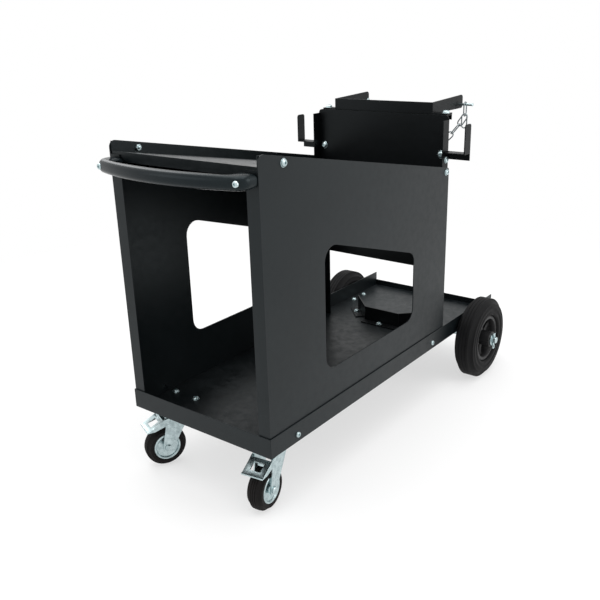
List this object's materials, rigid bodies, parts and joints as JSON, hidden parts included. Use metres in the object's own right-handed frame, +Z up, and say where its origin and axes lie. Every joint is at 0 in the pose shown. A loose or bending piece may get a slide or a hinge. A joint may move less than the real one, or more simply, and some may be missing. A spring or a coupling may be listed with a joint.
{
  "type": "welding cart",
  "caption": "Two-tier welding cart of folded sheet with a sloping machine shelf, bowed push handle, cable hooks and a chained bottle platform on wheels and braked casters.",
  "frame": {"origin": "on the ground, under the middle of the overall box", "axes": "+Z up, +Y from the push handle to the bottle platform, +X to the right seen from the handle"},
  "size_m": [0.5002, 0.974, 0.6897],
  "materials": {
    "dark_coat": "satin charcoal powder coat",
    "black_coat": "satin black powder coat",
    "zinc": "bright zinc plate",
    "rubber": "matt",
    "black_plastic": "satin moulded"
  },
  "bodies": {
    "cart_frame": {"axle_bracket_left": "black_coat", "axle_bracket_right": "black_coat", "axle_washer_left": "zinc", "axle_washer_right": "zinc", "base_tray": "dark_coat", "cable_hook_left": "black_coat", "cable_hook_right": "black_coat", "caster_king_pin_left": "zinc", "caster_king_pin_right": "zinc", "caster_plate_left": "zinc", "caster_plate_right": "zinc", "chain_peg_left": "zinc", "chain_peg_right": "zinc", "handle_bolt_left": "zinc", "handle_bolt_right": "zinc", "lower_bottle_cradle": "black_coat", "push_handle": "black_plastic", "rear_axle": "zinc", "rear_upright": "black_coat", "rim_screw_front_left": "zinc", "rim_screw_front_right": "zinc", "rim_screw_rear_left": "zinc", "rim_screw_rear_right": "zinc", "side_panel_left": "dark_coat", "side_panel_right": "dark_coat", "split_pin_left": "zinc", "split_pin_right": "zinc", "top_shelf": "dark_coat", "upper_bottle_cradle": "black_coat"},
    "rear_wheel_left": {"rear_tyre_left": "rubber", "rear_rim_left": "black_plastic"},
    "caster_swivel_left": {"caster_fork_left": "zinc", "caster_axle_bolt_left": "zinc"},
    "caster_wheel_left": {"caster_tyre_left": "rubber", "caster_hub_left": "zinc"},
    "caster_brake_left": {"caster_brake_pedal_left": "zinc"},
    "rear_wheel_right": {"rear_tyre_right": "rubber", "rear_rim_right": "black_plastic"},
    "caster_swivel_right": {"caster_fork_right": "zinc", "caster_axle_bolt_right": "zinc"},
    "caster_wheel_right": {"caster_tyre_right": "rubber", "caster_hub_right": "zinc"},
    "caster_brake_right": {"caster_brake_pedal_right": "zinc"},
    "bottle_chain": {"chain_end_link_left": "zinc", "chain_end_link_right": "zinc", "chain_link_01": "zinc", "chain_link_02": "zinc", "chain_link_03": "zinc", "chain_link_04": "zinc", "chain_link_05": "zinc", "chain_link_06": "zinc", "chain_link_07": "zinc", "chain_link_08": "zinc", "chain_link_09": "zinc", "chain_link_10": "zinc", "chain_link_11": "zinc", "chain_link_12": "zinc", "chain_link_13": "zinc", "chain_spare_link": "zinc"}
  },
  "joints": [
    {"name": "rear_wheel_left_spin", "type": "hinge", "parent": "cart_frame", "child": "rear_wheel_left", "pos_m": [-0.2045, 0.366, 0.1], "axis": [1, 0, 0], "continuous": true},
    {"name": "caster_left_swivel", "type": "hinge", "parent": "cart_frame", "child": "caster_swivel_left", "pos_m": [-0.127, -0.362, 0.12], "axis": [0, 0, 1], "continuous": true},
    {"name": "caster_left_spin", "type": "hinge", "parent": "caster_swivel_left", "child": "caster_wheel_left", "pos_m": [-0.14002, -0.39123, 0.043], "axis": [0.9135, -0.4067, 0], "continuous": true},
    {"name": "caster_left_brake", "type": "hinge", "parent": "caster_swivel_left", "child": "caster_brake_left", "pos_m": [-0.13269, -0.37479, 0.106], "axis": [0.9135, -0.4067, 0], "range_deg": [0, 12]},
    {"name": "rear_wheel_right_spin", "type": "hinge", "parent": "cart_frame", "child": "rear_wheel_right", "pos_m": [0.2045, 0.366, 0.1], "axis": [1, 0, 0], "continuous": true},
    {"name": "caster_right_swivel", "type": "hinge", "parent": "cart_frame", "child": "caster_swivel_right", "pos_m": [0.127, -0.362, 0.12], "axis": [0, 0, 1], "continuous": true},
    {"name": "caster_right_spin", "type": "hinge", "parent": "caster_swivel_right", "child": "caster_wheel_right", "pos_m": [0.13145, -0.39369, 0.043], "axis": [0.9903, 0.1392, 0], "continuous": true},
    {"name": "caster_right_brake", "type": "hinge", "parent": "caster_swivel_right", "child": "caster_brake_right", "pos_m": [0.12895, -0.37586, 0.106], "axis": [0.9903, 0.1392, 0], "range_deg": [0, 12]},
    {"name": "bottle_chain_swing", "type": "hinge", "parent": "cart_frame", "child": "bottle_chain", "pos_m": [0, 0.36, 0.668], "axis": [1, 0, 0], "range_deg": [-40, 40]}
  ]
}
